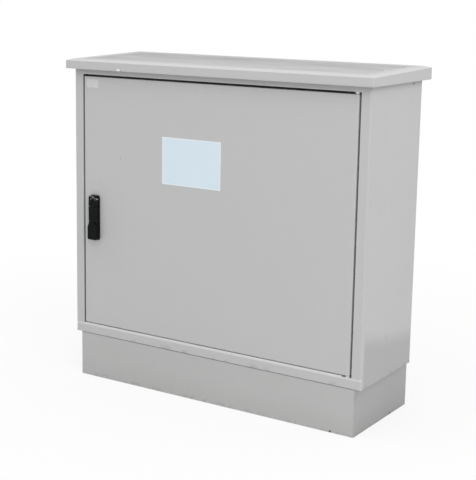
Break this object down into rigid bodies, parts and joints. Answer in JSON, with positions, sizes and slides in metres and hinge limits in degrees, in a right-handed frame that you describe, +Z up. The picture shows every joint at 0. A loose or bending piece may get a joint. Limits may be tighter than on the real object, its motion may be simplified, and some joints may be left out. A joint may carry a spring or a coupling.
{
  "type": "gas meter cabinet",
  "caption": "Free-standing sheet-metal street cabinet for a gas meter, with flush lockable door, overhanging roof, plinth, and a meter set inside.",
  "frame": {"origin": "middle of the plinth's ground face, which is the middle of the bounding box's bottom", "axes": "+Z up, -Y is the front with the door, +X to the right seen from the front"},
  "size_m": [1.034, 0.37, 1.0046],
  "materials": {
    "cabinet_paint": "light grey powder coat, slightly weathered",
    "plinth_paint": "light grey powder coat, dusty near the ground",
    "inner_zinc": "galvanised sheet",
    "steel": "zinc plated steel",
    "seal_rubber": "black EPDM",
    "guide_plastic": "black moulded plastic",
    "handle_black": "black coated die casting",
    "cover_black": "black plastic",
    "lock_metal": "nickel-brass lock cylinder",
    "label_white": "bare pale sticker",
    "plate_grey": "bare plate",
    "gas_yellow": "yellow gas pipe paint",
    "valve_brass": "cast brass",
    "lever_yellow": "yellow coated lever",
    "regulator_alloy": "cast aluminium",
    "meter_paint": "light grey meter paint",
    "band_steel": "rolled steel band",
    "index_black": "black plastic",
    "index_white": "white counter plate",
    "window_glass": "clear window"
  },
  "bodies": {
    "cabinet": {"plinth_frame": "plinth_paint", "plinth_seal": "seal_rubber", "housing_shell": "cabinet_paint", "back_panel": "inner_zinc", "floor_plate": "inner_zinc", "base_bolts": "steel", "pipe_grommets": "seal_rubber", "top_plate": "inner_zinc", "roof_spacers": "steel", "roof_bolts": "steel", "roof": "cabinet_paint", "hinge_bushes": "guide_plastic", "inlet_riser": "gas_yellow", "outlet_riser": "gas_yellow", "inlet_valve_body": "valve_brass", "outlet_valve_body": "valve_brass", "inlet_nipple": "gas_yellow", "regulator_body": "regulator_alloy", "regulator_cover": "regulator_alloy", "regulator_cap": "guide_plastic", "meter_lower_case": "meter_paint", "meter_upper_case": "meter_paint", "meter_band": "band_steel", "meter_unions": "valve_brass", "index_housing": "index_black", "index_face": "index_white", "index_window": "window_glass", "inlet_bend": "gas_yellow", "outlet_bend": "gas_yellow", "rail_lower": "inner_zinc", "rail_upper": "inner_zinc", "meter_shelf": "inner_zinc", "pipe_clamps": "steel", "clamp_rods": "steel"},
    "door": {"door_panel": "cabinet_paint", "door_gasket": "seal_rubber", "door_stiffener_left": "inner_zinc", "door_stiffener_right": "inner_zinc", "hinge_blocks": "steel", "hinge_pins": "steel", "label_plate": "label_white", "maker_plate": "plate_grey", "handle_base": "handle_black", "handle_screws": "steel", "lock_case": "inner_zinc", "lock_cover": "inner_zinc", "rod_guides": "guide_plastic"},
    "rotor": {"handle_rotor": "handle_black", "lift_pin": "steel", "lock_pinion": "steel"},
    "lever": {"handle_lever": "handle_black", "lock_cylinder": "lock_metal"},
    "key_cover": {"key_cover": "cover_black"},
    "key_plug": {"key_plug": "lock_metal"},
    "upper_rod": {"upper_rod": "steel"},
    "lower_rod": {"lower_rod": "steel"},
    "inlet_valve_lever": {"inlet_valve_stem": "steel", "inlet_valve_lever": "lever_yellow"},
    "outlet_valve_lever": {"outlet_valve_stem": "steel", "outlet_valve_lever": "lever_yellow"}
  },
  "joints": [
    {"name": "door_swing", "type": "hinge", "parent": "cabinet", "child": "door", "pos_m": [0.4557, -0.15, 0.56], "axis": [0, 0, 1], "range_deg": [0, 105]},
    {"name": "handle_turn", "type": "hinge", "parent": "door", "child": "rotor", "pos_m": [-0.422, -0.16, 0.5645], "axis": [0, -1, 0], "range_deg": [0, 90]},
    {"name": "lever_lift", "type": "hinge", "parent": "rotor", "child": "lever", "pos_m": [-0.422, -0.1715, 0.5645], "axis": [-1, 0, 0], "range_deg": [0, 35]},
    {"name": "key_cover_swing", "type": "hinge", "parent": "lever", "child": "key_cover", "pos_m": [-0.422, -0.174, 0.481], "axis": [0, -1, 0], "range_deg": [0, 90]},
    {"name": "key_turn", "type": "hinge", "parent": "lever", "child": "key_plug", "pos_m": [-0.422, -0.174, 0.466], "axis": [0, -1, 0], "range_deg": [0, 90]},
    {"name": "upper_rod_slide", "type": "slide", "parent": "door", "child": "upper_rod", "axis": [0, 0, -1], "range_m": [0, 0.0138]},
    {"name": "lower_rod_slide", "type": "slide", "parent": "door", "child": "lower_rod", "axis": [0, 0, 1], "range_m": [0, 0.0138]},
    {"name": "inlet_valve_turn", "type": "hinge", "parent": "cabinet", "child": "inlet_valve_lever", "pos_m": [-0.33, 0.02, 0.391], "axis": [0, 1, 0], "range_deg": [0, 90]},
    {"name": "outlet_valve_turn", "type": "hinge", "parent": "cabinet", "child": "outlet_valve_lever", "pos_m": [0.33, 0.02, 0.391], "axis": [0, -1, 0], "range_deg": [0, 90]}
  ],
  "couplings": [
    {"joint": "upper_rod_slide", "follows": "handle_turn", "m_per_rad": 0.00875},
    {"joint": "lower_rod_slide", "follows": "handle_turn", "m_per_rad": 0.00875}
  ]
}
